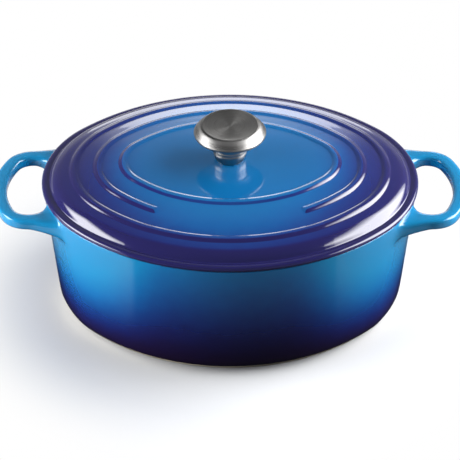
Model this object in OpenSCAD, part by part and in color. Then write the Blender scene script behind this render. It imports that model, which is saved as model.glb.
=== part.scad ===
// Oval enamelled cast iron dutch oven with a lift-off lid and a turned steel knob.
// Millimetres, +Z up. The origin is the middle of the flat base.

/* [Pot] */
// Length of the pot over its rim, without the handles
pot_length = 297; // [280:1:320]
// Width of the pot over its rim
pot_width = 238; // [220:1:256]
// Height of the pot up to its rim
pot_height = 110; // [90:1:150]
// Thickness of the side wall
wall = 4; // [3:0.1:7]
// Thickness of the base
base_wall = 4.5; // [3.5:0.1:8]
// Lean of the side wall, in degrees from upright
draft = 5.4; // [2:0.1:8]
// Outer radius between the side wall and the base
base_radius = 17; // [12:0.5:32]
// Bevel on the outer edge of the rim
rim_bevel = 0.8; // [0.3:0.1:1.5]

/* [Handles] */
// Length of the pot over both handles
overall_length = 379; // [362:1:412]
// Width of each handle loop over its legs
handle_span = 98.5; // [84:0.5:112]
// Thickness of the handle bar, seen from above
handle_bar = 11.5; // [8:0.1:13.5]
// Depth of the handle bar from top to underside
handle_depth = 9.5; // [8:0.1:12]
// Rounding of the handle bar's edges
handle_round = 3.2; // [1:0.1:3.8]
// Outer radius of the loop's corners
handle_corner = 23.5; // [18:0.5:28]
// Outer radius of the bowed end bar
handle_bow = 80; // [60:1:140]
// How far the top of the handles lies below the rim
handle_drop = 2.7; // [1:0.1:8]
// Length over which each leg swells into the wall
root_length = 20; // [10:0.5:26]
// How much wider each leg is at the wall
root_flare = 22; // [2:0.5:26]
// How far the flare reaches further to the inside of the loop than to the outside
root_shift = 5; // [0:0.5:8]
// How much deeper each leg is at the wall
root_deepen = 8.5; // [2:0.5:11]
// How far each root is cast into the wall, past the wall's own thickness
root_bury = 7; // [5:0.5:9]

/* [Lid] */
// How far the lid stands out past the pot's rim
lid_overhang = 1.5; // [0:0.1:3]
// Height of the rounded edge of the lid
lid_edge = 5; // [3.6:0.1:6]
// Thickness of the lid's dome
lid_wall = 3.8; // [3:0.1:5]
// Width of the flat flange inside the lid's edge
flange_width = 9.2; // [8:0.1:12]
// Rise of the flange from the edge to the foot of the dome
flange_rise = 1.9; // [0.4:0.1:3]
// Distance from the edge to the top of the steep shoulder
shoulder_inset = 21; // [18:0.5:22]
// Rise of the shoulder above the flange
shoulder_rise = 5.6; // [5:0.2:10]
// Slope of the dome at the shoulder's top, as rise over run
shoulder_slope = 0.21; // [0.12:0.01:0.24]
// Loss of slope for each millimetre towards the middle
dome_flatten = 0.0019; // [0.001:0.0001:0.0024]
// Distance from the edge to the centre plate inside the inner ring
plate_inset = 70; // [69:0.5:76]
// Height of the round crown over the centre plate
crown_rise = 3.2; // [1:0.1:5]
// Radius of the round crown
crown_radius = 48; // [34:1:49]
// Gap between the lid's underside and the pot's rim
seat_gap = 0.3; // [0.2:0.05:0.6]

/* [Raised rings] */
// Distance from the edge to the middle of the outer ring
outer_ring_inset = 25.8; // [25:0.1:28]
// Distance from the edge to the middle of the middle ring
middle_ring_inset = 45.2; // [40:0.1:52]
// Distance from the edge to the middle of the inner ring
inner_ring_inset = 65.4; // [60:0.1:65.6]
// Width of each ring
ring_width = 6.4; // [4:0.1:8]
// Height of each ring above the dome
ring_height = 1.4; // [0.8:0.1:2.2]
// Length of the gap in the middle ring at the front
ring_gap = 112; // [60:1:140]

/* [Locating lip] */
// Gap all round between the lip's lower edge and the inside of the pot
lip_gap = 1.2; // [1:0.1:2.5]
// Thickness of the lip
lip_wall = 3.8; // [2.5:0.1:5]
// How far the lip reaches down into the pot
lip_depth = 4; // [2:0.1:8]
// How far each centring pad stands out from the lip
pad_height = 0.6; // [0.3:0.05:0.7]
// Width of each centring pad
pad_width = 9; // [5:0.5:14]

/* [Knob] */
// Diameter of the knob at its widest
knob_diameter = 57; // [44:0.5:64]
// Height of the knob
knob_height = 31.5; // [27:0.5:38]
// Diameter of the dished top face
knob_top_diameter = 43.4; // [36:0.2:43.4]
// Depth of the dish in the top face
knob_dish = 1.1; // [0.4:0.1:2]
// Height of the sloping band between the widest part and the top
knob_band = 7; // [4:0.1:9]
// Rounding of the knob's outer edge
knob_edge = 1.8; // [0.8:0.1:2.4]
// Diameter of the knob's foot
knob_foot_diameter = 23.4; // [20:0.2:24]
// Diameter of the stem where it meets the head
knob_stem_diameter = 26.8; // [25:0.2:30]
// Height over which the foot widens to the stem
knob_foot_rise = 6.5; // [4:0.5:10]
// Depth of the knob's head from its widest part to the stem
knob_under = 9; // [6:0.5:12]

/* [Fastening] */
// Diameter of the knob screw
screw_diameter = 6; // [5:0.1:6]
// Length of the screw's thread inside the knob
screw_grip = 12; // [9:0.5:16]
// Free depth left in the knob above the screw's tip
tap_run_out = 2.5; // [1:0.5:4]
// Radial clearance of the screw in the knob
thread_gap = 0.05; // [0.02:0.01:0.1]
// Radial clearance of the screw in the lid
hole_gap = 0.5; // [0.3:0.1:1]
// Diameter of the screw's domed head
screw_head_diameter = 12; // [11:0.1:13]
// Height of the screw's head
screw_head_height = 3.6; // [3:0.1:4.5]
// Width of the slots in the screw's cross recess
recess_width = 1.4; // [0.8:0.1:2]
// Diameter of the flat washer
washer_diameter = 16; // [14:0.5:18]
// Thickness of the flat washer
washer_thickness = 1.2; // [0.8:0.1:2]
// Diameter of the split lock washer
lock_diameter = 10.6; // [10:0.1:11]
// Thickness of the split lock washer
lock_thickness = 1.5; // [1:0.1:2]
// Gap in the split lock washer
lock_split = 1; // [0.6:0.1:2]

/* [Hidden] */
$fn = 94;
arc_steps = 10;
through_cut = 20;
rim_clear = 5;

// The oval has four arcs that are tangent where they meet, each of a quarter turn:
// two round ends about [+-centre, 0] and two flatter sides about [0, +-centre].
// Every outline of the pot and of the lid shares these four centres. The centre is
// a round number, so that neighbouring arcs meet exactly.
centre = round(1000*(pot_length - pot_width)/(4 - 2*sqrt(2)))/1000;
centre_step = centre*sqrt(2);
end_radius = pot_length/2 - centre;
side_radius = end_radius + centre_step;
sweep_stop = 2;
seam_lap = 0.00002;
sweep_reach = end_radius - sweep_stop;

// Heights on the lid, from the underside of its rim upwards
lid_base = pot_height + seat_gap;
flange_height = lid_edge + flange_rise;
shoulder_step = 0.6;
shoulder_foot = flange_width + shoulder_step;
shoulder_height = flange_height + shoulder_rise;
plate_height = dome_height(plate_inset);
crown_height = plate_height + crown_rise;
crown_sphere = (crown_radius*crown_radius + crown_rise*crown_rise)/(2*crown_rise);
seat_margin = 1.5;
seat_radius = knob_foot_diameter/2 + seat_margin;
seat_height = crown_height - crown_drop(seat_radius);
pad_margin = 1;
pad_radius = washer_diameter/2 + pad_margin;
pad_boss = 0.2;
pad_underside = crown_height - lid_wall - crown_drop(pad_radius) - pad_boss;

// Insets of the lid's lip from the lid's outer edge. The pot's wall leans in,
// so the lip's gap is set at its lower edge.
lip_inset = lid_overhang + wall + lip_depth*tan(draft) + lip_gap;
lip_inner_inset = lip_inset + lip_wall;
hollow_step = 2;
hollow_inset = shoulder_inset + hollow_step;

// Each ring is a shallow arc of this radius above the dome
ring_round = (ring_width*ring_width/4 + ring_height*ring_height)/(2*ring_height);
ring_sink = 1.2;
ring_cap_step = 0.06;

// The fastening hangs below the lid: flat washer, lock washer, screw head
knob_base = lid_base + seat_height;
knob_widest = knob_height - knob_band;
washer_top = lid_base + pad_underside;
lock_top = washer_top - washer_thickness;
head_top = lock_top - lock_thickness;
screw_tip = knob_base + screw_grip;
bore_diameter = screw_diameter + 2*thread_gap;
hole_diameter = screw_diameter + 2*hole_gap;
lock_gap = 0.3;
lock_bore = screw_diameter + 2*lock_gap;

// Centre line of the handle loops: a bowed bar, two round corners, two legs. The
// corners' centres are measured from the bow's. The bow's angle is a round number,
// so that bow, corners and legs meet exactly.
bow_centre = overall_length/2 - handle_bow;
corner_reach = handle_bow - handle_corner;
bow_angle = round(100*asin((handle_span/2 - handle_corner)/corner_reach))/100;
corner_x = corner_reach*cos(bow_angle);
corner_y = corner_reach*sin(bow_angle);
leg_y = corner_y + handle_corner - handle_bar/2;
handle_z = pot_height - handle_drop - handle_depth/2;
wall_lean = (pot_height - handle_z)*tan(draft);
leg_wall_x = centre + sqrt(pow(end_radius - wall_lean, 2) - leg_y*leg_y);
leg_length = bow_centre + corner_x - leg_wall_x;
root_run = min(root_length, leg_length - 1);

// How far the crown has fallen at a distance r from the middle
function crown_drop(r) = crown_sphere - sqrt(crown_sphere*crown_sphere - r*r);

// Slope and height of the dome at a distance from the lid's edge
function dome_slope(inset) = shoulder_slope - dome_flatten*(inset - shoulder_inset);
function dome_height(inset) =
    shoulder_height + (shoulder_slope + dome_slope(inset))/2*(inset - shoulder_inset);

// Points along an arc about [x, y] from angle a to angle b
function arc(x, y, r, a, b) =
    [for (i = [0:arc_steps]) let (t = a + (b - a)*i/arc_steps) [x + r*cos(t), y + r*sin(t)]];

// Points along the dome from one inset to another, lowered by drop
function dome_line(from_inset, to_inset, drop) =
    [for (i = [0:arc_steps]) let (d = from_inset + (to_inset - from_inset)*i/arc_steps)
        [d, dome_height(d) - drop]];

// Points up a shoulder that starts upright at foot and ends at top with a given slope
function shoulder_line(foot, top, slope) =
    let (run = top[0] - foot[0],
         rise = top[1] - foot[1],
         ease = slope*run/rise,
         turn = acos(ease/(1 - ease)))
    [for (i = [0:arc_steps - 1]) let (t = turn*i/arc_steps)
        [foot[0] + run*(1 - cos(t))/(1 - cos(turn)), foot[1] + rise*sin(t)/sin(turn)]];

function reversed(points) = [for (i = [len(points) - 1:-1:0]) points[i]];

// Moves by whole and then by broken millimetres, so that no digit is lost and
// sweeps that meet end to end share one face
module fine_move(x, y) {
    translate([floor(x), floor(y)]) translate([x - floor(x), y - floor(y)]) children();
}

// Sweep of a profile round one end of the oval. The profile's x is the distance
// inwards from an outline that lies spread outside the pot's rim.
module end_sweep(spread) {
    translate([centre, 0])
        rotate_extrude(angle = 90, start = -45)
            translate([end_radius + spread, 0]) mirror([1, 0]) children();
}

// Sweep of a profile along one flatter side, leaving out skip degrees each way
// from the middle of the side. It laps each end's sweep by a hair, so that they fuse.
module side_sweep(spread, skip = 0) {
    first = 45 - seam_lap;
    last = 135 + seam_lap;
    arcs = skip > 0 ? [[first, 90 - skip], [90 + skip, last]] : [[first, last]];
    translate([0, -centre])
        for (span = arcs)
            rotate_extrude(angle = span[1] - span[0], start = span[0])
                translate([end_radius + spread, 0]) fine_move(centre_step, 0)
                    mirror([1, 0]) children();
}

// Sweep of a profile round the whole oval, with an optional gap at the front
module oval_sweep(spread, front_skip = 0) {
    end_sweep(spread) children();
    rotate([0, 0, 180]) end_sweep(spread) children();
    side_sweep(spread) children();
    rotate([0, 0, 180]) side_sweep(spread, front_skip) children();
}

// Flat block that closes the middle, where the four sweeps stop short of the centres
module core_block(bottom, top) {
    overlap = 3*sweep_stop;
    core_length = 2*centre + 2*overlap;
    core_width = 2*(centre_step - centre) + 2*overlap;
    translate([-core_length/2, -core_width/2, bottom])
        cube([core_length, core_width, top - bottom]);
}

// Outline of one side of the pot, from the rim down the wall and round to the base
module pot_profile(inset, bottom, radius, top, bevel) {
    foot_z = bottom + radius*(1 - sin(draft));
    foot_x = inset + (pot_height - foot_z)*tan(draft);
    brim = bevel > 0
        ? [[inset + bevel, top], [inset + bevel*tan(draft), top - bevel]]
        : [[inset - (top - pot_height)*tan(draft), top]];
    polygon(concat(
        brim,
        arc(foot_x + radius*cos(draft), bottom + radius, radius, 180 + draft, 270),
        [[sweep_reach, bottom], [sweep_reach, top]]));
}

module pot_solid(inset, bottom, radius, top, bevel = 0) {
    oval_sweep(0) pot_profile(inset, bottom, radius, top, bevel);
    core_block(bottom, top);
}

// Rounded section of the handle bar
module bar_section() {
    flat_w = handle_bar - 2*handle_round;
    flat_d = handle_depth - 2*handle_round;
    square([handle_bar, flat_d], center = true);
    square([flat_w, handle_depth], center = true);
    for (x = [-1, 1], y = [-1, 1])
        translate([x*flat_w/2, y*flat_d/2]) circle(r = handle_round);
}

// Root of a handle leg: the bar grows wider and deeper into the wall. Its thin end lies
// a little inside the bar, and its top a little below the bar's, so that no faces coincide.
module leg_root() {
    inside_bar = 0.96;
    top_step = 0.25;
    slice = 0.1;
    hull() {
        translate([leg_wall_x + root_run, leg_y, handle_z])
            rotate([90, 0, 90]) linear_extrude(slice)
                scale([inside_bar, inside_bar]) bar_section($fn = 32);
        translate([leg_wall_x - wall - root_bury, leg_y - root_shift,
                   handle_z - top_step - root_deepen/2])
            rotate([90, 0, 90]) linear_extrude(slice)
                scale([1 + root_flare/handle_bar, 1 + root_deepen/handle_depth])
                    bar_section($fn = 32);
    }
}

// Bar swept about the present axis, from a start angle over a turn
module bar_sweep(radius, start, turn) {
    rotate_extrude(angle = turn, start = start)
        translate([radius - handle_bar/2, 0]) bar_section();
}

// Handle loop on the +X end: bowed bar, two round corners and two rooted legs
module handle_loop() {
    translate([bow_centre, 0, handle_z]) bar_sweep(handle_bow, -bow_angle, 2*bow_angle);
    for (side = [0, 1]) mirror([0, side, 0]) {
        translate([bow_centre, 0, handle_z]) fine_move(corner_x, corner_y) {
            bar_sweep(handle_corner, bow_angle, 90 - bow_angle);
            translate([0, handle_corner - handle_bar/2, 0])
                rotate([90, 0, -90]) linear_extrude(leg_length) bar_section();
        }
        leg_root();
    }
}

// One iron casting: oval pot with both loop handles, enamelled inside and out
module pot() {
    color("dodgerblue")
    difference() {
        union() {
            pot_solid(0, 0, base_radius, pot_height, rim_bevel);
            handle_loop();
            mirror([1, 0, 0]) handle_loop();
        }
        pot_solid(wall, base_wall, base_radius - wall, pot_height + rim_clear);
    }
}

// Half section of the lid, from its rounded edge over the dome to the centre plate,
// and back along the underside to the locating lip
module lid_profile() {
    edge_round = lid_edge/2;
    polygon(concat(
        arc(edge_round, edge_round, edge_round, 270, 90),
        [[flange_width, flange_height]],
        shoulder_line([shoulder_foot, flange_height], [shoulder_inset, shoulder_height],
                      shoulder_slope),
        dome_line(shoulder_inset, plate_inset, 0),
        [[sweep_reach + lid_overhang, plate_height],
         [sweep_reach + lid_overhang, plate_height - lid_wall]],
        dome_line(plate_inset, hollow_inset, lid_wall),
        reversed(shoulder_line([lip_inner_inset, 0],
                               [hollow_inset, dome_height(hollow_inset) - lid_wall],
                               dome_slope(hollow_inset))),
        [[lip_inner_inset, -lip_depth], [lip_inset, -lip_depth], [lip_inset, 0]]));
}

// Section of one raised ring, standing square on the sloping dome
module ring_section(inset) {
    half_angle = asin(ring_width/2/ring_round);
    translate([inset, dome_height(inset)])
        rotate(atan(dome_slope(inset)))
            polygon(concat(
                arc(0, ring_height - ring_round, ring_round, 90 + half_angle, 90 - half_angle),
                [[ring_width/2, -ring_sink], [-ring_width/2, -ring_sink]]));
}

// Middle ring, open at the front, with ball-shaped ends
module open_ring(inset) {
    path_radius = side_radius + lid_overhang - inset;
    skip = asin(ring_gap/2/path_radius);
    slope_angle = atan(dome_slope(inset));
    oval_sweep(lid_overhang, skip) ring_section(inset);
    for (side = [-1, 1])
        intersection() {
            translate([side*path_radius*sin(skip), centre - path_radius*cos(skip),
                       dome_height(inset)])
                rotate([0, 0, side*skip])
                    rotate([slope_angle, 0, 0])
                        translate([0, 0, ring_height - ring_round])
                            sphere(r = ring_round - ring_cap_step);
            translate([-pot_length/2, -pot_width/2, dome_height(inset) - ring_sink])
                cube([pot_length, pot_width/2, lid_edge + ring_height]);
        }
}

// Round crown over the centre plate, as thick as the dome
module crown() {
    difference() {
        intersection() {
            translate([0, 0, crown_height - crown_sphere]) sphere(r = crown_sphere);
            translate([0, 0, plate_height - lid_wall]) cylinder(r = crown_radius, h = through_cut);
        }
        translate([0, 0, seat_height]) cylinder(r = seat_radius, h = through_cut);
    }
}

module crown_hollow() {
    intersection() {
        translate([0, 0, crown_height - crown_sphere]) sphere(r = crown_sphere - lid_wall);
        translate([0, 0, plate_height - lid_wall - 1]) cylinder(r = crown_radius, h = through_cut);
    }
}

// Small pads round the lip that centre the lid in the pot
module centring_pads() {
    lip_x = pot_length/2 + lid_overhang - lip_inset;
    lip_y = pot_width/2 + lid_overhang - lip_inset;
    pad_depth = 2*lip_depth/3;
    for (side = [0, 180]) rotate([0, 0, side]) {
        translate([lip_x - lip_wall/2, -pad_width/2, -lip_depth])
            cube([lip_wall/2 + pad_height, pad_width, pad_depth]);
        translate([-pad_width/2, lip_y - lip_wall/2, -lip_depth])
            cube([pad_width, lip_wall/2 + pad_height, pad_depth]);
    }
}

// One iron casting: domed lid with three raised rings and a locating lip
module lid() {
    color("mediumblue")
    translate([0, 0, lid_base])
    difference() {
        union() {
            difference() {
                union() {
                    oval_sweep(lid_overhang) lid_profile();
                    core_block(plate_height - lid_wall, plate_height);
                    crown();
                }
                crown_hollow();
            }
            translate([0, 0, pad_underside])
                cylinder(r = pad_radius, h = seat_height - pad_underside - 1);
            oval_sweep(lid_overhang) ring_section(outer_ring_inset);
            open_ring(middle_ring_inset);
            oval_sweep(lid_overhang) ring_section(inner_ring_inset);
            centring_pads();
        }
        cylinder(d = hole_diameter, h = crown_height + through_cut);
    }
}

// Knob turned from steel: foot, stem flaring into the head, sloping band, dished top
module knob() {
    foot_radius = knob_foot_diameter/2;
    stem_radius = knob_stem_diameter/2;
    rim_radius = knob_diameter/2;
    top_radius = knob_top_diameter/2;
    foot_bevel = 0.8;
    cove_start = knob_widest - knob_under;
    cove_end = rim_radius - knob_edge;
    cove_rise = knob_under - knob_edge;
    dish_sphere = (top_radius*top_radius + knob_dish*knob_dish)/(2*knob_dish);
    color("silver")
    translate([0, 0, knob_base])
    difference() {
        rotate_extrude()
            polygon(concat(
                [[0, 0], [foot_radius - foot_bevel, 0], [foot_radius, foot_bevel],
                 [stem_radius, knob_foot_rise]],
                [for (i = [0:arc_steps - 1]) let (t = 90*i/arc_steps)
                    [stem_radius + (cove_end - stem_radius)*(1 - cos(t)),
                     cove_start + cove_rise*sin(t)]],
                arc(cove_end, knob_widest, knob_edge, -90, 45),
                [[top_radius, knob_height], [0, knob_height]]));
        translate([0, 0, knob_height - knob_dish + dish_sphere]) sphere(r = dish_sphere);
        translate([0, 0, -1]) cylinder(d = bore_diameter, h = screw_grip + tap_run_out + 1);
    }
}

// Screw pushed up through the lid into the knob, with a domed head and cross recess
module knob_screw() {
    head_radius = screw_head_diameter/2;
    dome = (head_radius*head_radius + screw_head_height*screw_head_height)/(2*screw_head_height);
    tip_bevel = screw_diameter/8;
    recess_depth = 0.55*screw_head_height;
    recess_length = 0.55*screw_head_diameter;
    color("gainsboro")
    difference() {
        union() {
            translate([0, 0, head_top]) {
                cylinder(d = screw_diameter, h = screw_tip - head_top - tip_bevel);
                translate([0, 0, screw_tip - head_top - tip_bevel])
                    cylinder(r1 = screw_diameter/2, r2 = screw_diameter/2 - tip_bevel, h = tip_bevel);
            }
            intersection() {
                translate([0, 0, head_top - screw_head_height + dome]) sphere(r = dome);
                translate([0, 0, head_top - screw_head_height])
                    cylinder(r = head_radius, h = screw_head_height);
            }
        }
        for (turn = [0, 90])
            translate([0, 0, head_top - screw_head_height]) rotate([0, 0, turn])
                translate([-recess_length/2, -recess_width/2, -1])
                    cube([recess_length, recess_width, recess_depth + 1]);
    }
}

module flat_washer() {
    color("lightgray")
    translate([0, 0, lock_top])
    difference() {
        cylinder(d = washer_diameter, h = washer_thickness);
        translate([0, 0, -1]) cylinder(d = hole_diameter, h = through_cut);
    }
}

// Spring steel ring, cut through and slightly sprung
module lock_washer() {
    color("gray")
    translate([0, 0, head_top])
    difference() {
        cylinder(d = lock_diameter, h = lock_thickness);
        translate([0, 0, -1]) cylinder(d = lock_bore, h = through_cut);
        translate([0, -lock_split/2, -1]) cube([lock_diameter, lock_split, through_cut]);
    }
}

pot();
lid();
knob();
knob_screw();
flat_washer();
lock_washer();
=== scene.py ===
"""Oval enamelled cast iron dutch oven: the looks of its pot, lid, knob and fastening.

Metres, +Z up. The origin is the middle of the flat base.
"""
import math

import bpy
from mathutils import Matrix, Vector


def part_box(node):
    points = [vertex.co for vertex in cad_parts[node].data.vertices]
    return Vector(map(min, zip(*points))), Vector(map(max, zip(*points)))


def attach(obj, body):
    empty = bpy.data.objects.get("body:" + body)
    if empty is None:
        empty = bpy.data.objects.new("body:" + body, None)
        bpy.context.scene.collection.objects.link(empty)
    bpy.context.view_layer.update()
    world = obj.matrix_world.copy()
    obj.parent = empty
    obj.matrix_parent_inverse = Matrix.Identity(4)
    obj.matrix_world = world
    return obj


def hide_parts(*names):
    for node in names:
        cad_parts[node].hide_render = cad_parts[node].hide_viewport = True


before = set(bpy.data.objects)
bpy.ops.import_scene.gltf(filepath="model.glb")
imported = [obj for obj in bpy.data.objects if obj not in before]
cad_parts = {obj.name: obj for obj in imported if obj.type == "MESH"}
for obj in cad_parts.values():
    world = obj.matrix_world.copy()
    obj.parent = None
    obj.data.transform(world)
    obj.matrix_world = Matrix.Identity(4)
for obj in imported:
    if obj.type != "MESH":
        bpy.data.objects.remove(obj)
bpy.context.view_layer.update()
bpy.ops.object.select_all(action="DESELECT")

# ---------------------------------------------------------------------------
# Pot. One grey iron casting with both loop handles, 4 mm thick in the wall, cast in a
# sand mould. Blue enamel is sprayed on the outside in tones that melt into each other;
# the inside has sand-coloured enamel and the rim a thin dark one.
# ---------------------------------------------------------------------------
MM = 0.001
lid_overhang = 1.5 * MM
lid_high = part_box("lid")[1]
rim_half_length = lid_high.x - lid_overhang
rim_half_width = lid_high.y - lid_overhang
rim_height = 110 * MM
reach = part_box("pot")[1].x

# The outline is four arcs: round ends about (+-centre, 0), flatter sides about (0, +-centre)
centre = 2 * (rim_half_length - rim_half_width) / (4 - 2 * math.sqrt(2))
end_radius = rim_half_length - centre


def oval_radius(x, y):
    """Distance outwards from the nearest arc's centre, as if that arc were a round end's."""
    if abs(x) - centre > abs(y):
        return math.hypot(abs(x) - centre, y)
    return math.hypot(x, abs(y) + centre) - centre * math.sqrt(2)


def draw_line(name, points):
    """A line of edges through (x, z) points in the plane y = 0, drawn vertex by vertex."""
    bpy.ops.mesh.primitive_circle_add(vertices=3, radius=MM, enter_editmode=True)
    bpy.context.object.name = name
    bpy.ops.mesh.select_mode(type="VERT")
    bpy.ops.mesh.merge(type="CENTER")
    bpy.ops.transform.translate(value=(points[0][0], 0, points[0][1]))
    for a, b in zip(points, points[1:]):
        step = (b[0] - a[0], 0, b[1] - a[1])
        bpy.ops.mesh.extrude_vertices_move(TRANSFORM_OT_translate={"value": step})
    bpy.ops.mesh.select_all(action="SELECT")
    return bpy.context.object


def spin_about(x, y, degrees, steps):
    """Spins what is selected anticlockwise about an upright axis. The last copy stays selected."""
    bpy.ops.mesh.spin(steps=steps, angle=-math.radians(degrees), center=(x, y, 0), axis=(0, 0, 1))


def pick(obj, kind, test):
    """Selects only the vertices, edges or faces that pass a test, and goes back to edit mode."""
    bpy.ops.object.mode_set(mode="EDIT")
    bpy.ops.mesh.select_mode(type={"vertices": "VERT", "edges": "EDGE", "polygons": "FACE"}[kind])
    bpy.ops.mesh.select_all(action="DESELECT")
    bpy.ops.object.mode_set(mode="OBJECT")
    for item in getattr(obj.data, kind):
        item.select = test(item)
    bpy.ops.object.mode_set(mode="EDIT")


def pick_edges(obj, test):
    """Selects only the edges with both ends at a place that passes a test."""
    pick(obj, "edges", lambda edge: all(test(obj.data.vertices[i].co) for i in edge.vertices))


def apply_modifier(obj, kind, **settings):
    """Adds a modifier with these settings and applies it."""
    bpy.ops.object.mode_set(mode="OBJECT")
    modifier = obj.modifiers.new(kind.lower(), kind)
    for key, value in settings.items():
        setattr(modifier, key, value)
    bpy.ops.object.modifier_apply(modifier=modifier.name)


def arc(x, z, radius, start, end, steps):
    """Points along an arc about (x, z), angles in degrees."""
    angles = [math.radians(start + (end - start) * i / steps) for i in range(steps + 1)]
    return [(x + radius * math.cos(a), z + radius * math.sin(a)) for a in angles]


wall = 4 * MM
base_wall = 4.5 * MM
base_radius = 17 * MM
draft = math.radians(5.4)
rim_round = 0.9 * MM
rim_edge = 0.25 * MM
base_hole = 80 * MM
base_ring = base_hole - 30 * MM


def wall_inset(z):
    """How far the leaning outer wall stands in from the rim's outline at a height."""
    return (rim_height - z) * math.tan(draft)


def round_foot(inset, bottom, radius):
    """Points down and round from a leaning wall to a flat base, as (inset, z)."""
    foot_z = bottom + radius * (1 - math.sin(draft))
    middle = inset + wall_inset(foot_z) + radius * math.cos(draft)
    return arc(middle, bottom + radius, radius, 180 + math.degrees(draft), 270, 6)


root_top, root_middle, root_bottom = 108.4 * MM, 100 * MM, 90 * MM
outer_rows = [rim_height - rim_round, root_top, root_middle, root_bottom,
              84 * MM, 74 * MM, 61 * MM, 47 * MM, 32 * MM]
inner_rows = [30 * MM, 56 * MM, 82 * MM, 102 * MM]
# The profile runs outwards under the base, up the wall, over the rim and down the inside.
# A point is (distance in from the rim's outline, z).
pot_line = [(base_hole, 0), (base_ring, 0)]
pot_line += reversed(round_foot(0, 0, base_radius))
pot_line += [(wall_inset(z), z) for z in reversed(outer_rows)]
pot_line += [(0.2 * MM, rim_height - rim_edge), (rim_round, rim_height),
             (wall - rim_round, rim_height), (wall - 0.1 * MM, rim_height - rim_edge),
             (wall + wall_inset(rim_height - rim_round), rim_height - rim_round)]
pot_line += [(wall + wall_inset(z), z) for z in reversed(inner_rows)]
pot_line += round_foot(wall, base_wall, base_radius - wall)
pot_line += [(base_ring, base_wall), (base_hole, base_wall)]

# A quarter is swept from the +X axis to the +Y axis, with narrow steps at the handle's root
root_start, root_end = 15, 36.5
pot = draw_line("pot_casting", [(rim_half_length - inset, z) for inset, z in pot_line])
for degrees, steps in ((root_start, 3), (root_end - root_start, 2), (45 - root_end, 2)):
    spin_about(centre, 0, degrees, steps)
spin_about(0, -centre, 45, 8)
bpy.ops.mesh.select_all(action="SELECT")
bpy.ops.mesh.remove_doubles(threshold=0.001 * MM)


# Handle. Its leg grows out of four faces of the wall: they are taken out, and the edge of
# the hole is extruded and shaped along the loop's path as far as the plane y = 0.
def at_root(point, slack=0.2 * MM):
    """Whether a point of the wall's outside lies where a leg grows out of it."""
    turn = math.degrees(math.atan2(point.y, point.x - centre))
    outside = oval_radius(point.x, point.y) > end_radius - wall_inset(point.z) - wall / 2
    beside = root_start - 0.2 < turn < root_end + 0.2
    return outside and beside and root_bottom - slack < point.z < root_top + slack


def step_loop(move, wide, deep, flatten, middle):
    """Extrudes the selected loop by a move and scales it about its new middle."""
    bpy.ops.mesh.extrude_edges_move(TRANSFORM_OT_translate={"value": move})
    bpy.ops.transform.resize(value=(flatten, wide, deep), center_override=middle)


def turn_loop(x, y, degrees, steps):
    """Extrudes the selected loop clockwise about an upright axis."""
    for _ in range(steps):
        bpy.ops.mesh.extrude_edges_move(TRANSFORM_OT_translate={"value": (0, 0, 0)})
        bpy.ops.transform.rotate(value=math.radians(degrees / steps), orient_axis="Z",
                                 center_override=(x, y, 0))


bar_width, bar_depth = 11.5 * MM, 9.5 * MM
handle_drop = 2.7 * MM
bar_height = rim_height - handle_drop - bar_depth / 2
corner_outer, bow_outer = 23.5 * MM, 80 * MM
corner_radius = corner_outer - bar_width / 2
bow_radius = bow_outer - bar_width / 2
bow_middle = reach - bow_outer
bow_turn = 27.1
corner_x = bow_middle + (bow_radius - corner_radius) * math.cos(math.radians(bow_turn))
corner_y = (bow_radius - corner_radius) * math.sin(math.radians(bow_turn))
leg_y = corner_y + corner_radius
pick(pot, "polygons", lambda face: at_root(face.center, 0))
bpy.ops.mesh.delete(type="FACE")
pick_edges(pot, at_root)
bpy.ops.object.mode_set(mode="OBJECT")
rim_of_hole = [v.co.copy() for v in pot.data.vertices if v.select]
bpy.ops.object.mode_set(mode="EDIT")
place = sum(rim_of_hole, rim_of_hole[0] * 0) / len(rim_of_hole)
wide = max(co.y for co in rim_of_hole) - min(co.y for co in rim_of_hole)
deep = max(co.z for co in rim_of_hole) - min(co.z for co in rim_of_hole)
# Each station along the leg: its middle, width, depth, and how much of the slant is left
stations = [((place.x + 3 * MM, leg_y - 1.9 * MM, bar_height - 2.6 * MM), 27 * MM, 16.4 * MM, 0.85),
            ((143.4 * MM, leg_y - 1.1 * MM, bar_height - 1.8 * MM), 21.4 * MM, 13.4 * MM, 0.55),
            ((149.2 * MM, leg_y, bar_height - 0.9 * MM), 15.6 * MM, 11.3 * MM, 0.55),
            ((corner_x - 3.5 * MM, leg_y, bar_height), bar_width, bar_depth, 0),
            ((corner_x, leg_y, bar_height), bar_width, bar_depth, 1)]
for middle, new_wide, new_deep, flatten in stations:
    step_loop([middle[0] - place[0], middle[1] - place[1], middle[2] - place[2]],
              new_wide / wide, new_deep / deep, flatten, middle)
    place, wide, deep = middle, new_wide, new_deep
turn_loop(corner_x, corner_y, 90 - bow_turn, 4)
turn_loop(bow_middle, 0, bow_turn, 3)
apply_modifier(pot, "MIRROR", use_axis=(True, True, False), merge_threshold=0.02 * MM)

# The base is closed inside and outside by two more rings and a last point each
for level in (0, base_wall):
    pick_edges(pot, lambda co: abs(co.z - level) < 0.1 * MM
               and oval_radius(co.x, co.y) < end_radius - base_hole + MM)
    for size in (0.62, 0.4):
        bpy.ops.mesh.extrude_edges_move(TRANSFORM_OT_translate={"value": (0, 0, 0)})
        bpy.ops.transform.resize(value=(size, size, 1), center_override=(0, 0, level))
    bpy.ops.mesh.extrude_edges_move(TRANSFORM_OT_translate={"value": (0, 0, 0)})
    bpy.ops.mesh.merge(type="CENTER")
bpy.ops.mesh.select_all(action="SELECT")
bpy.ops.mesh.normals_make_consistent(inside=False)
apply_modifier(pot, "SUBSURF", levels=2, render_levels=2)
bpy.ops.object.shade_smooth()
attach(pot, "pot_body")
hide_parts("pot")


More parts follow.
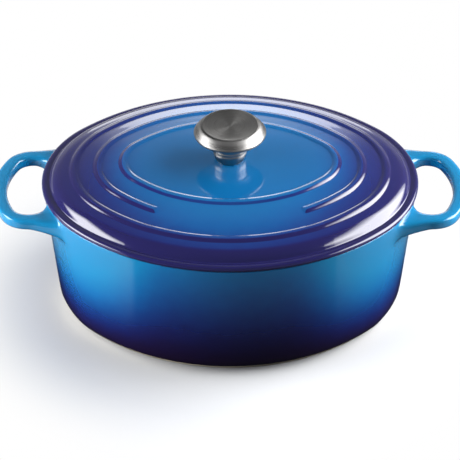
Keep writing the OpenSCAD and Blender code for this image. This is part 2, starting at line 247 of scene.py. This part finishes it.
def new_material(name):
    """A material with only its shader and output, and the shader's node tree."""
    material = bpy.data.materials.new(name)
    material.use_nodes = True
    return material, material.node_tree, material.node_tree.nodes["Principled BSDF"]


def new_group(name, inputs, outputs):
    """A node group with number inputs, outputs of the kinds given, and its two end nodes."""
    group = bpy.data.node_groups.new(name, "ShaderNodeTree")
    for title in inputs:
        group.interface.new_socket(title, in_out="INPUT", socket_type="NodeSocketFloat")
    for title, kind in outputs:
        group.interface.new_socket(title, in_out="OUTPUT", socket_type="NodeSocket" + kind)
    return group, group.nodes.new("NodeGroupInput"), group.nodes.new("NodeGroupOutput")


def add_node(tree, kind, **settings):
    """A shader node of a kind, with these settings."""
    node = tree.nodes.new("ShaderNode" + kind)
    for key, value in settings.items():
        setattr(node, key, value)
    return node


def span(tree, low, high, to_low=0, to_high=1, eased=False):
    """A node that turns one range of values into another, evenly or eased at both ends."""
    node = add_node(tree, "MapRange", interpolation_type="SMOOTHSTEP" if eased else "LINEAR")
    ends = {"From Min": low, "From Max": high, "To Min": to_low, "To Max": to_high}
    for title, value in ends.items():
        node.inputs[title].default_value = value
    return node


def colour_ramp(tree, stops):
    """A colour ramp through (position, (red, green, blue)) stops, linear colours."""
    ramp = add_node(tree, "ValToRGB")
    elements = ramp.color_ramp.elements
    while len(elements) < len(stops):
        elements.new(0.5)
    for element, (position, colour) in zip(elements, stops):
        element.position = position
        element.color = (*colour, 1)
    return ramp


def wire(tree, *links):
    """Joins each output to an input."""
    for output, into in links:
        tree.links.new(output, into)


# Enamel: powdered glass fused to the iron at 800 degrees, thick and glossy, with a faint
# orange-peel ripple and the clouds that a spray gun leaves.
skin, inside, outside = new_group("enamel_skin", ("Ripple", "Depth"),
                                  (("Cloud", "Float"), ("Normal", "Vector")))
coords = add_node(skin, "TexCoord")
ripple = add_node(skin, "TexNoise")
ripple.inputs["Detail"].default_value = 1
cloud = add_node(skin, "TexNoise")
cloud.inputs["Scale"].default_value = 90
cloud.inputs["Detail"].default_value = 4
bump = add_node(skin, "Bump")
bump.inputs["Distance"].default_value = 0.1 * MM
wire(skin, (coords.outputs["Object"], ripple.inputs["Vector"]),
     (coords.outputs["Object"], cloud.inputs["Vector"]),
     (inside.outputs["Ripple"], ripple.inputs["Scale"]),
     (inside.outputs["Depth"], bump.inputs["Strength"]),
     (ripple.outputs[0], bump.inputs["Height"]),
     (cloud.outputs[0], outside.inputs["Cloud"]),
     (bump.outputs[0], outside.inputs["Normal"]))

azure, sea, royal = (0.003, 0.180, 0.380), (0.003, 0.115, 0.320), (0.005, 0.048, 0.200)
navy, indigo, plum = (0.007, 0.015, 0.110), (0.009, 0.007, 0.046), (0.008, 0.003, 0.014)


def enamel(name, ripple, depth, roughness, coat=1):
    """An enamel material: the skin's ripple under a clear glassy coat."""
    material, tree, shader = new_material(name)
    surface = add_node(tree, "Group", node_tree=skin)
    surface.inputs["Ripple"].default_value = ripple
    surface.inputs["Depth"].default_value = depth
    wire(tree, (surface.outputs["Normal"], shader.inputs["Normal"]))
    shader.inputs["Roughness"].default_value = roughness
    shader.inputs["Coat Weight"].default_value = coat
    shader.inputs["Coat Roughness"].default_value = 0.03
    return material, tree, shader, surface


def spray(tree, shader, surface, place, stops, drift):
    """Colours the enamel by a place from 0 to 1, a little unevenly, as a spray gun does."""
    ramp = colour_ramp(tree, stops)
    ramp.color_ramp.interpolation = "B_SPLINE"
    uneven = span(tree, 0, 1, -drift, drift)
    add = add_node(tree, "Math", operation="ADD")
    wire(tree, (surface.outputs["Cloud"], uneven.inputs["Value"]),
         (uneven.outputs[0], add.inputs[0]), (place, add.inputs[1]),
         (add.outputs[0], ramp.inputs[0]), (ramp.outputs[0], shader.inputs["Base Color"]))


def plain_enamel(name, ripple, depth, roughness, pale, dark, coat=1):
    """An enamel material of one tone, clouded between two near colours."""
    material, tree, shader, surface = enamel(name, ripple, depth, roughness, coat)
    tint = colour_ramp(tree, ((0.35, dark), (0.65, pale)))
    wire(tree, (surface.outputs["Cloud"], tint.inputs[0]),
         (tint.outputs[0], shader.inputs["Base Color"]))
    return material


# The outside goes from azure under the rim to plum at the foot. The dark tones reach higher
# in the middle of the long sides than at the ends: painted shade in the middle, painted light at
# the ends.
pot_blue, tree, shader, surface = enamel("pot_blue_enamel", ripple=320, depth=0.2, roughness=0.12)
coords = add_node(tree, "TexCoord")
parts = add_node(tree, "SeparateXYZ")
height = span(tree, rim_height, 0)
aside = add_node(tree, "Math", operation="ABSOLUTE")
# Painted shade and light: darker in the middle of the long sides, lighter at the ends where the
# side lamps fall
middle = span(tree, 45 * MM, 118 * MM, 0.33, -0.3, eased=True)
above = add_node(tree, "Math", operation="SUBTRACT")
above.inputs[0].default_value = 1
lower = add_node(tree, "Math", operation="MULTIPLY_ADD")
wire(tree, (coords.outputs["Object"], parts.inputs[0]),
     (parts.outputs["Z"], height.inputs["Value"]),
     (parts.outputs["X"], aside.inputs[0]), (aside.outputs[0], middle.inputs["Value"]),
     (height.outputs[0], above.inputs[1]), (middle.outputs[0], lower.inputs[0]),
     (above.outputs[0], lower.inputs[1]), (height.outputs[0], lower.inputs[2]))
spray(tree, shader, surface, lower.outputs[0],
      ((0.0, azure), (0.15, azure), (0.35, sea), (0.53, royal), (0.68, navy), (0.8, indigo),
       (0.92, plum)), drift=0.03)

sand = plain_enamel("sand_enamel", ripple=260, depth=0.1, roughness=0.35,
                    pale=(0.72, 0.65, 0.51), dark=(0.66, 0.58, 0.44))
dark_rim = plain_enamel("rim_enamel", ripple=500, depth=0.2, roughness=0.5,
                        pale=(0.055, 0.042, 0.040), dark=(0.030, 0.022, 0.022), coat=0.4)


def inside_pot(face):
    """Whether a face belongs to the inside of the wall or of the base."""
    x, y, z = face.center
    return z > base_wall / 2 and oval_radius(x, y) < end_radius - wall_inset(z) - wall / 2


def paint(obj, finishes):
    """Gives each face the first finish whose test it passes; the last finish has no test."""
    for material, _ in finishes:
        obj.data.materials.append(material)
    for face in obj.data.polygons:
        face.material_index = next(i for i, (_, test) in enumerate(finishes)
                                   if test is None or test(face))


paint(pot, ((dark_rim, lambda face: face.center.z > rim_height - 0.12 * MM),
            (sand, inside_pot), (pot_blue, None)))

# ---------------------------------------------------------------------------
# Lid. One grey iron casting: a narrow flange, a steep shoulder and a shallow dome with
# three raised rings, the middle one open at the front; underneath, a lip drops into the
# pot. The enamel is the pot's, sprayed from azure in the middle to indigo at the edge.
# ---------------------------------------------------------------------------
seat_gap = 0.3 * MM
lid_base = rim_height + seat_gap
edge_height = 5 * MM
shoulder_width, shoulder_height = 21 * MM, 12.5 * MM
shoulder_slope, dome_flatten = 0.21, 1.9
plate_width = 70 * MM
lid_wall = 3.8 * MM
lip_outer, lip_inner, lip_depth, lip_edge = 7.1 * MM, 10.9 * MM, 4 * MM, 0.8 * MM
ring_insets = (25.8 * MM, 45.2 * MM, 65.4 * MM)
open_ring = ring_insets[1]
ring_gap = 112 * MM
# A ring's section, as (across, above the dome) in millimetres
ring_shape = ((-4.4, 0), (-3.6, 0.06), (-2.6, 0.64), (-1.1, 1.22),
              (1.1, 1.22), (2.6, 0.64), (3.6, 0.06), (4.4, 0))
lid_radius = end_radius + lid_overhang


def dome_height(inset):
    """Height of the dome above the lid's underside at a distance in from the edge."""
    run = inset - shoulder_width
    return shoulder_height + shoulder_slope * run - dome_flatten * run * run / 2


def ring_bump(inset):
    """Points over one raised ring, square to the sloping dome."""
    lean = math.atan(shoulder_slope - dome_flatten * (inset - shoulder_width))
    return [(inset + (u * math.cos(lean) - h * math.sin(lean)) * MM,
             dome_height(inset) + (u * math.sin(lean) + h * math.cos(lean)) * MM)
            for u, h in ring_shape]


# Edge, flange and shoulder, then the dome with its rings. A point is (distance in from the
# edge, height above the lid's underside).
top_line = arc(edge_height / 2, edge_height / 2, edge_height / 2, 270, 90, 6)
top_line += [(4.4 * MM, 4.95 * MM), (6 * MM, 4.75 * MM), (6.7 * MM, 4.95 * MM),
             (7.3 * MM, 5.7 * MM), (8.3 * MM, 7.1 * MM), (9.6 * MM, 8.45 * MM),
             (11.3 * MM, 9.75 * MM), (13.3 * MM, 10.8 * MM), (15.6 * MM, 11.55 * MM),
             (18.3 * MM, 12.1 * MM)]
for inset in ring_insets:
    top_line += ring_bump(inset)
    next_ring = min([r for r in ring_insets if r > inset], default=0)
    for step in (7, 10, 13):
        if inset + (step + 4) * MM < next_ring:
            top_line.append((inset + step * MM, dome_height(inset + step * MM)))
underside = [(lip_outer - 1.2 * MM, 0), (lip_outer, 0), (lip_outer, -1.2 * MM),
             (lip_outer, lip_edge - lip_depth), (lip_outer + lip_edge, -lip_depth),
             (lip_inner - lip_edge, -lip_depth), (lip_inner, lip_edge - lip_depth),
             (lip_inner, -0.5 * MM), (lip_inner + 0.6 * MM, 2.8 * MM),
             (lip_inner + 2.6 * MM, 5.6 * MM), (lip_inner + 6 * MM, 7.2 * MM),
             (lip_inner + 9 * MM, 8 * MM)]
underside += [(d * MM, dome_height(d * MM) - lid_wall) for d in (23, 32, 42, 52, 62, 70)]
lid_line = list(reversed(underside)) + top_line
lid = draw_line("lid_casting",
                [(centre + lid_radius - inset, lid_base + z) for inset, z in lid_line])
path_radius = lid_radius + centre * math.sqrt(2) - open_ring
gap_turn = math.degrees(math.asin(ring_gap / 2 / path_radius))
spin_about(centre, 0, 45, 9)
spin_about(0, -centre, 90, 13)
spin_about(-centre, 0, 90, 18)
# Short steps on both sides of the ring's ends, in degrees
near, past = 3.5, 0.5
for degrees, steps in ((45 - gap_turn - near, 3), (near + past, 7), (2 * (gap_turn - past), 8),
                       (past + near, 7), (45 - gap_turn - near, 3)):
    spin_about(0, centre, degrees, steps)
spin_about(centre, 0, 45, 9)
bpy.ops.mesh.select_all(action="SELECT")
bpy.ops.mesh.remove_doubles(threshold=0.001 * MM)
bpy.ops.object.mode_set(mode="OBJECT")

# The middle ring sinks to the dome in its gap, with a ball end on each side
ring_half = 3.3 * MM


def into_gap(co):
    """How far a point lies past the start of the ring's ball end, along the ring."""
    turn = abs(math.degrees(math.atan2(co.x, centre - co.y)))
    return (gap_turn - turn) * math.radians(1) * path_radius + ring_half


for (_, h), (inset, z) in list(zip(ring_shape, ring_bump(open_ring)))[1:-1]:

    def on_line(co):
        """Whether a point lies on this line of the ring, at the front and in the gap."""
        along = abs(lid_radius - oval_radius(co.x, co.y) - inset) < 0.05 * MM
        return along and abs(co.z - lid_base - z) < 0.05 * MM and co.y < 0 and into_gap(co) > 0

    places = sorted({round(into_gap(v.co) / MM, 2) for v in lid.data.vertices if on_line(v.co)})
    for far in places:
        pick(lid, "vertices", lambda v: on_line(v.co) and abs(into_gap(v.co) / MM - far) < 0.01)
        sink = h * MM * min(1, (far * MM / ring_half) ** 2)
        bpy.ops.transform.translate(value=(0, 0, -sink))
        bpy.ops.object.mode_set(mode="OBJECT")

# The crown over the middle is closed on both faces by rings that turn from oval to round
knob_low, knob_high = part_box("knob")
ring_reach = ring_shape[-1][0] * MM
crown_edge = dome_height(ring_insets[2] + ring_reach)
half_long = centre + lid_radius - plate_width
half_short = half_long - (rim_half_length - rim_half_width)
crown_rise = (knob_low.z - lid_base - crown_edge) * 1.07
# Half the length and half the width of each ring, in millimetres
crown_rings = ((67, 43), (54, 36), (41, 29), (29, 22.5), (19, 17), (13, 13), (8, 8), (3.5, 3.5))
for thickness in (0, lid_wall):
    rim_z = lid_base + crown_edge - thickness
    pick_edges(lid, lambda co: lid_radius - oval_radius(co.x, co.y) > plate_width - 0.5 * MM
               and abs(co.z - rim_z) < 0.3 * MM)
    long_now, short_now, z_now = half_long, half_short, rim_z
    for long_next, short_next in crown_rings:
        z_next = rim_z + crown_rise * (1 - (short_next * MM / half_short) ** 2)
        bpy.ops.mesh.extrude_edges_move(TRANSFORM_OT_translate={"value": (0, 0, z_next - z_now)})
        bpy.ops.transform.resize(value=(long_next * MM / long_now, short_next * MM / short_now, 0),
                                 center_override=(0, 0, z_next))
        if long_next == short_next:
            bpy.ops.transform.tosphere(value=1)
        long_now, short_now, z_now = long_next * MM, short_next * MM, z_next
screw_hole = 4.5 * MM


def round_hole(edge):
    """Whether an edge runs round the screw's hole."""
    a, b = (lid.data.vertices[i].co for i in edge.vertices)
    return max(a.xy.length, b.xy.length) < screw_hole and abs(a.z - b.z) < 0.1 * MM


pick(lid, "edges", round_hole)
bpy.ops.mesh.bridge_edge_loops()
bpy.ops.mesh.select_all(action="SELECT")
bpy.ops.mesh.normals_make_consistent(inside=False)
apply_modifier(lid, "SUBSURF", levels=2, render_levels=2)
bpy.ops.object.shade_smooth()
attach(lid, "lid_body")
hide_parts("lid")

# The lid goes from azure in the middle to indigo at the edge. It is darker still on the low
# flange, and on the outward slopes of the shoulder and the rings it is darker again as painted
# shade.
lid_blue, tree, shader, surface = enamel("lid_blue_enamel", ripple=320, depth=0.06, roughness=0.12)
coords = add_node(tree, "TexCoord")
shape = add_node(tree, "Mapping")
shape.inputs["Scale"].default_value = (1 / lid_high.x, 1 / lid_high.x, 0)
away = add_node(tree, "VectorMath", operation="LENGTH")
parts = add_node(tree, "SeparateXYZ")
edge = span(tree, lid_base + 7.5 * MM, lid_base + 5 * MM, 0, 0.16)
deeper = add_node(tree, "Math", operation="ADD")
outward = add_node(tree, "VectorMath", operation="NORMALIZE")
facing = add_node(tree, "VectorMath", operation="DOT_PRODUCT")
# Painted shade: the enamel is darker where the surface faces outwards
painted_slope_shade = span(tree, 0.2, 0.42, 0, 0.27, eased=True)
tone_and_painted_slope_shade = add_node(tree, "Math", operation="ADD")
wire(tree, (coords.outputs["Object"], shape.inputs["Vector"]), (shape.outputs[0], away.inputs[0]),
     (coords.outputs["Object"], parts.inputs[0]), (parts.outputs["Z"], edge.inputs["Value"]),
     (away.outputs["Value"], deeper.inputs[0]), (edge.outputs[0], deeper.inputs[1]),
     (shape.outputs[0], outward.inputs[0]), (outward.outputs[0], facing.inputs[0]),
     (coords.outputs["Normal"], facing.inputs[1]),
     (facing.outputs["Value"], painted_slope_shade.inputs["Value"]),
     (deeper.outputs[0], tone_and_painted_slope_shade.inputs[0]), (painted_slope_shade.outputs[0], tone_and_painted_slope_shade.inputs[1]))
spray(tree, shader, surface, tone_and_painted_slope_shade.outputs[0],
      ((0.0, (0.004, 0.125, 0.320)), (0.45, (0.004, 0.110, 0.310)), (0.57, (0.005, 0.075, 0.260)),
       (0.66, (0.007, 0.026, 0.160)), (0.76, (0.009, 0.013, 0.105)), (0.86, (0.010, 0.010, 0.085)),
       (1.0, (0.011, 0.009, 0.070))), drift=0.02)


def under_dome(face):
    """Whether a face belongs to the lid's underside, inside the lip."""
    return face.normal.z < 0 and lid_radius - oval_radius(*face.center.xy) > lip_inner - MM


paint(lid, ((sand, under_dome), (lid_blue, None)))

# ---------------------------------------------------------------------------
# Knob. Turned from a stainless steel bar on a lathe: a short stem with three shallow grooves
# flares into a broad head with a rounded band and a dished top. The tool leaves fine rings.
# ---------------------------------------------------------------------------
knob_radius = knob_high.x
knob_base, knob_top = knob_low.z, knob_high.z
bore_radius, bore_top = 3.1 * MM, knob_base + 14 * MM
foot_radius, foot_edge, foot_rise = 11.7 * MM, 0.8 * MM, 6.5 * MM
stem_radius, groove_depth = 13.4 * MM, 0.35 * MM
edge_radius = 1.7 * MM
dish_radius, dish_depth = 21.3 * MM, 1.02 * MM
widest = knob_top - 7 * MM
knob_line = [(bore_radius, bore_top), (bore_radius, knob_base),
             (foot_radius - foot_edge, knob_base), (foot_radius, knob_base + foot_edge),
             (stem_radius, knob_base + foot_rise)]
for i in range(3):
    groove = knob_base + (8.2 + 2.6 * i) * MM
    knob_line += [(stem_radius, groove), (stem_radius - groove_depth, groove + 0.5 * MM),
                  (stem_radius - groove_depth, groove + 0.9 * MM), (stem_radius, groove + 1.4 * MM)]
knob_line += [(stem_radius, widest - 8.4 * MM), (14.2 * MM, widest - 7 * MM),
              (15.8 * MM, widest - 5.4 * MM), (19 * MM, widest - 3.9 * MM),
              (23.4 * MM, widest - 2.6 * MM), (27 * MM, widest - 1.8 * MM)]
knob_line += arc(knob_radius - edge_radius, widest - 0.1 * MM, edge_radius, -60, 40, 5)
knob_line += [(25.6 * MM, widest + 3.7 * MM), (23.6 * MM, knob_top - 1.1 * MM),
              (22.1 * MM, knob_top - 0.12 * MM), (21.6 * MM, knob_top),
              (dish_radius, knob_top - 0.06 * MM), (20.6 * MM, knob_top - 0.16 * MM),
              (17 * MM, knob_top - 0.5 * MM), (11 * MM, knob_top - 0.85 * MM),
              (4 * MM, knob_top - 1 * MM), (0.4 * MM, knob_top - dish_depth)]
knob = draw_line("turned_knob", knob_line)
spin_about(0, 0, 360, 96)
bpy.ops.mesh.select_all(action="SELECT")
bpy.ops.mesh.remove_doubles(threshold=0.001 * MM)
for height in (bore_top, knob_top - dish_depth):
    pick_edges(knob, lambda co: abs(co.z - height) < 0.05 * MM)
    bpy.ops.mesh.edge_face_add()
bpy.ops.mesh.select_all(action="SELECT")
bpy.ops.mesh.normals_make_consistent(inside=False)
apply_modifier(knob, "BEVEL", width=0.25 * MM, segments=2, angle_limit=math.radians(50))
bpy.ops.object.shade_smooth_by_angle(angle=math.radians(40))
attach(knob, "lid_body")
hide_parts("knob")

# Turning marks: fine rings about the upright axis, of slightly different depths
marks, inside, outside = new_group("turning_marks", ("Scale", "Depth"),
                                   (("Shade", "Float"), ("Normal", "Vector")))
coords = add_node(marks, "TexCoord")
parts = add_node(marks, "SeparateXYZ")
flat = add_node(marks, "CombineXYZ")
reach_out = add_node(marks, "VectorMath", operation="LENGTH")
along = add_node(marks, "Math", operation="ADD")
rings = add_node(marks, "TexNoise", noise_dimensions="1D")
bump = add_node(marks, "Bump")
bump.inputs["Distance"].default_value = 0.02 * MM
wire(marks, (coords.outputs["Object"], parts.inputs[0]), (parts.outputs["X"], flat.inputs["X"]),
     (parts.outputs["Y"], flat.inputs["Y"]), (flat.outputs[0], reach_out.inputs[0]),
     (reach_out.outputs["Value"], along.inputs[0]), (parts.outputs["Z"], along.inputs[1]),
     (along.outputs[0], rings.inputs["W"]), (inside.outputs["Scale"], rings.inputs["Scale"]),
     (inside.outputs["Depth"], bump.inputs["Strength"]), (rings.outputs[0], bump.inputs["Height"]),
     (rings.outputs[0], outside.inputs["Shade"]), (bump.outputs[0], outside.inputs["Normal"]))


def turned(name, scale, depth, stops):
    """A steel material with turning marks in its colour and its surface."""
    material, tree, shader = new_material(name)
    grooves = add_node(tree, "Group", node_tree=marks)
    grooves.inputs["Scale"].default_value = scale
    grooves.inputs["Depth"].default_value = depth
    tint = colour_ramp(tree, stops)
    wire(tree, (grooves.outputs["Shade"], tint.inputs[0]),
         (tint.outputs[0], shader.inputs["Base Color"]),
         (grooves.outputs["Normal"], shader.inputs["Normal"]))
    shader.inputs["Metallic"].default_value = 1
    return material, tree, shader, grooves


knob_steel, tree, shader, grooves = turned(
    "turned_steel", 2600, 0.35, ((0.35, (0.24, 0.235, 0.23)), (0.65, (0.38, 0.375, 0.365))))
rough = span(tree, 0, 1, 0.25, 0.34)
tangent = add_node(tree, "Tangent", direction_type="RADIAL", axis="Z")
wire(tree, (grooves.outputs["Shade"], rough.inputs["Value"]),
     (rough.outputs[0], shader.inputs["Roughness"]),
     (tangent.outputs[0], shader.inputs["Tangent"]))
shader.inputs["Anisotropic"].default_value = 0.75
knob.data.materials.append(knob_steel)

# ---------------------------------------------------------------------------
# Fastening. A stainless machine screw comes up through the lid into the knob, with a
# flat washer against the enamel and a split washer under the screw's head.
# ---------------------------------------------------------------------------
screw_steel, tree, shader, grooves = turned(
    "fastener_steel", 1500, 0.25, ((0.3, (0.36, 0.36, 0.37)), (0.7, (0.55, 0.55, 0.55))))
shader.inputs["Roughness"].default_value = 0.3
for name in ("knob_screw", "flat_washer", "lock_washer"):
    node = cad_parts[name]
    node.data.materials.clear()
    node.data.materials.append(screw_steel)

# ---------------------------------------------------------------------------
# Studio. A white table that melts into a white backdrop, a large softbox on each side
# and a dim room in front. To bounce light and mirrors the table is painted dark, with painted light
# at its sides and a painted shadow near the foot.
# ---------------------------------------------------------------------------
def stage_plane(name, size, location, tilt, scale):
    """A flat part of the studio, tilted about X, and its material's node tree and shader."""
    bpy.ops.mesh.primitive_plane_add(size=size, location=location,
                                     rotation=(math.radians(tilt), 0, 0))
    plane = bpy.context.object
    plane.name = name
    plane.scale = (*scale, 1)
    material, tree, shader = new_material(name + "_white")
    plane.data.materials.append(material)
    return tree, shader


def seen_white(tree, shader, camera, glossy, drop=0, least=0, most=1):
    """Shows a surface as plain white to camera rays and glossy rays, away from a point.

    camera and glossy are the distances at which the white begins and at which it is full.
    It begins at least, and it is full at 1 for the camera and at most for glossy rays. The
    point lies below the surface's own middle by drop.
    """
    coords = add_node(tree, "TexCoord")
    shift = add_node(tree, "Mapping")
    shift.inputs["Location"].default_value = (0, drop, 0)
    away = add_node(tree, "VectorMath", operation="LENGTH")
    ray = add_node(tree, "LightPath")
    both = add_node(tree, "Math", operation="ADD")
    glow = add_node(tree, "Emission")
    mix = add_node(tree, "MixShader")
    wire(tree, (coords.outputs["Object"], shift.inputs[0]), (shift.outputs[0], away.inputs[0]))
    kinds = ("Is Camera Ray", camera, 1), ("Is Glossy Ray", glossy, most)
    for i, (kind, distances, full) in enumerate(kinds):
        far = span(tree, *distances, least, full, eased=True)
        seen = add_node(tree, "Math", operation="MULTIPLY")
        wire(tree, (away.outputs["Value"], far.inputs["Value"]),
             (ray.outputs[kind], seen.inputs[0]), (far.outputs[0], seen.inputs[1]),
             (seen.outputs[0], both.inputs[i]))
    wire(tree, (both.outputs[0], mix.inputs[0]), (shader.outputs[0], mix.inputs[1]),
         (glow.outputs[0], mix.inputs[2]),
         (mix.outputs[0], tree.nodes["Material Output"].inputs["Surface"]))


# Painted light and shade: to anything but the camera the table is dark near the foot, a painted
# shadow, and in a wedge that opens to the front, and it is lighter at the sides, the left one most,
# as painted light.
tree, shader = stage_plane("table", 12, (0, 0, 0), 0, (1, 1))
seen_white(tree, shader, camera=(0.15, 0.235), glossy=(0.9, 3))
wedge_slope, wedge_lean, wedge_edge = 0.742, -0.067, (-0.028, -0.016)
coords = add_node(tree, "TexCoord")
parts = add_node(tree, "SeparateXYZ")
aside = add_node(tree, "Math", operation="ABSOLUTE")
across = add_node(tree, "Math", operation="MULTIPLY_ADD")
across.inputs[1].default_value = wedge_slope
lean_over = add_node(tree, "Math", operation="MULTIPLY_ADD")
lean_over.inputs[1].default_value = wedge_lean
# Painted light: outside a wedge that opens to the front the table is lighter to mirrors and bounce
painted_light_zone = span(tree, *wedge_edge)
front = add_node(tree, "Math", operation="MAXIMUM")
front.inputs[1].default_value = 0.13
shape = add_node(tree, "Mapping")
shape.inputs["Scale"].default_value = (1 / rim_half_length, 1 / rim_half_width, 0)
away = add_node(tree, "VectorMath", operation="LENGTH")
# Painted shadow: the table is dark to mirrors and bounce near the foot
painted_foot_shadow = span(tree, 1.05, 1.75, eased=True)
# Painted light: the left side is lighter than the right
painted_left_light = span(tree, -0.1, 0.1, 1, 0.36)
share = add_node(tree, "Math", operation="MULTIPLY")
whole = add_node(tree, "Math", operation="MULTIPLY")
sides = colour_ramp(tree, ((0, (0.012, 0.013, 0.016)), (1, (0.36, 0.36, 0.37))))
ray = add_node(tree, "LightPath")
top = add_node(tree, "Mix", data_type="RGBA")
top.inputs["B"].default_value = (0.57, 0.58, 0.60, 1)
wire(tree, (coords.outputs["Object"], parts.inputs[0]), (parts.outputs["X"], aside.inputs[0]),
     (aside.outputs[0], across.inputs[0]), (parts.outputs["Y"], across.inputs[2]),
     (parts.outputs["X"], lean_over.inputs[0]), (across.outputs[0], lean_over.inputs[2]),
     (lean_over.outputs[0], painted_light_zone.inputs["Value"]),
     (coords.outputs["Object"], shape.inputs["Vector"]),
     (shape.outputs[0], away.inputs[0]), (away.outputs["Value"], painted_foot_shadow.inputs["Value"]),
     (parts.outputs["X"], painted_left_light.inputs["Value"]), (painted_light_zone.outputs[0], share.inputs[0]),
     (painted_left_light.outputs[0], share.inputs[1]), (share.outputs[0], front.inputs[0]),
     (front.outputs[0], whole.inputs[0]), (painted_foot_shadow.outputs[0], whole.inputs[1]),
     (whole.outputs[0], sides.inputs[0]), (ray.outputs["Is Camera Ray"], top.inputs["Factor"]),
     (sides.outputs[0], top.inputs["A"]), (top.outputs["Result"], shader.inputs["Base Color"]))
shader.inputs["Roughness"].default_value = 0.9
shader.inputs["Specular IOR Level"].default_value = 0

# The backdrop is white to the camera, grey to mirrors but for a bright patch low in its
# middle, a glowing patch of painted light that only reflections see, and clear from behind
tree, shader = stage_plane("backdrop", 1, (0, 2.3, 1.8), 90, (9, 3.6))
seen_white(tree, shader, camera=(-2, -1), glossy=(0.2, 0.02), drop=0.34, least=0.12, most=0.62)
shader.inputs["Base Color"].default_value = (0.3, 0.3, 0.3, 1)
surface = tree.nodes["Material Output"].inputs["Surface"]
front_side = surface.links[0].from_socket
faces = add_node(tree, "NewGeometry")
clear = add_node(tree, "BsdfTransparent")
mix = add_node(tree, "MixShader")
wire(tree, (faces.outputs["Backfacing"], mix.inputs[0]), (front_side, mix.inputs[1]),
     (clear.outputs[0], mix.inputs[2]), (mix.outputs[0], surface))

# The room is dim, and white to the camera
world = bpy.data.worlds.new("room")
bpy.context.scene.world = world
world.use_nodes = True
tree = world.node_tree
dim = tree.nodes["Background"]
dim.inputs["Color"].default_value = (0.9, 0.93, 1, 1)
dim.inputs["Strength"].default_value = 0.12
white = add_node(tree, "Background")
white.inputs["Color"].default_value = (1, 1, 1, 1)
ray = add_node(tree, "LightPath")
mix = add_node(tree, "MixShader")
wire(tree, (ray.outputs["Is Camera Ray"], mix.inputs[0]), (dim.outputs[0], mix.inputs[1]),
     (white.outputs[0], mix.inputs[2]),
     (mix.outputs[0], tree.nodes["World Output"].inputs["Surface"]))


def aim(obj, target):
    """Turns a lamp or camera so that it looks at a point."""
    way = [there - here for there, here in zip(target, obj.location)]
    flat = math.hypot(way[0], way[1])
    obj.rotation_euler = (math.atan2(flat, -way[2]), 0, math.atan2(way[1], way[0]) - math.pi / 2)


def softbox(name, location, size, power, roll=0, seen=True, layers=(1,)):
    """A lamp of one layer, or of several inside one another, which dims it towards its edges.

    Sizes are in metres and the power is in watts. Each layer stands a little further out than
    the last one, so that none hides another.
    """
    for i, part in enumerate(layers):
        out = 1 + 0.02 * i
        bpy.ops.object.light_add(type="AREA", location=[place * out for place in location])
        lamp = bpy.context.object
        lamp.name = name + "_" + str(i + 1)
        lamp.data.shape = "RECTANGLE"
        lamp.data.size, lamp.data.size_y = size[0] * part, size[1] * part
        lamp.data.energy = power * part * part / len(layers)
        lamp.visible_glossy = seen
        aim(lamp, (0, 0, 0.12))
        lamp.rotation_euler.rotate_axis("Z", math.radians(roll))


nested = (1.12, 1, 0.88, 0.74)
softbox("right_softbox", (0.871, 0.076, 0.605), (1.15, 0.85), 30, roll=15, layers=nested)
softbox("left_softbox", (-0.895, -0.12, 0.53), (0.85, 0.44), 10.5, roll=-30, layers=nested)
softbox("left_fill", (-1.22, -0.28, 0.2), (0.8, 0.3), 28, seen=False)
softbox("right_fill", (1.2, 0.32, 0.2), (0.8, 0.3), 25, seen=False)
softbox("back_strip", (0, 2.0, 0.57), (1.07, 0.29), 2)

bpy.ops.object.camera_add(location=(0, -1.6056, 1.2549))
camera = bpy.context.object
camera.data.sensor_width = 36
camera.data.lens = 193.7
camera.data.clip_start = 0.05
aim(camera, (0, 0, 0.0624))
bpy.context.scene.camera = camera
bpy.context.scene.view_settings.view_transform = "Standard"
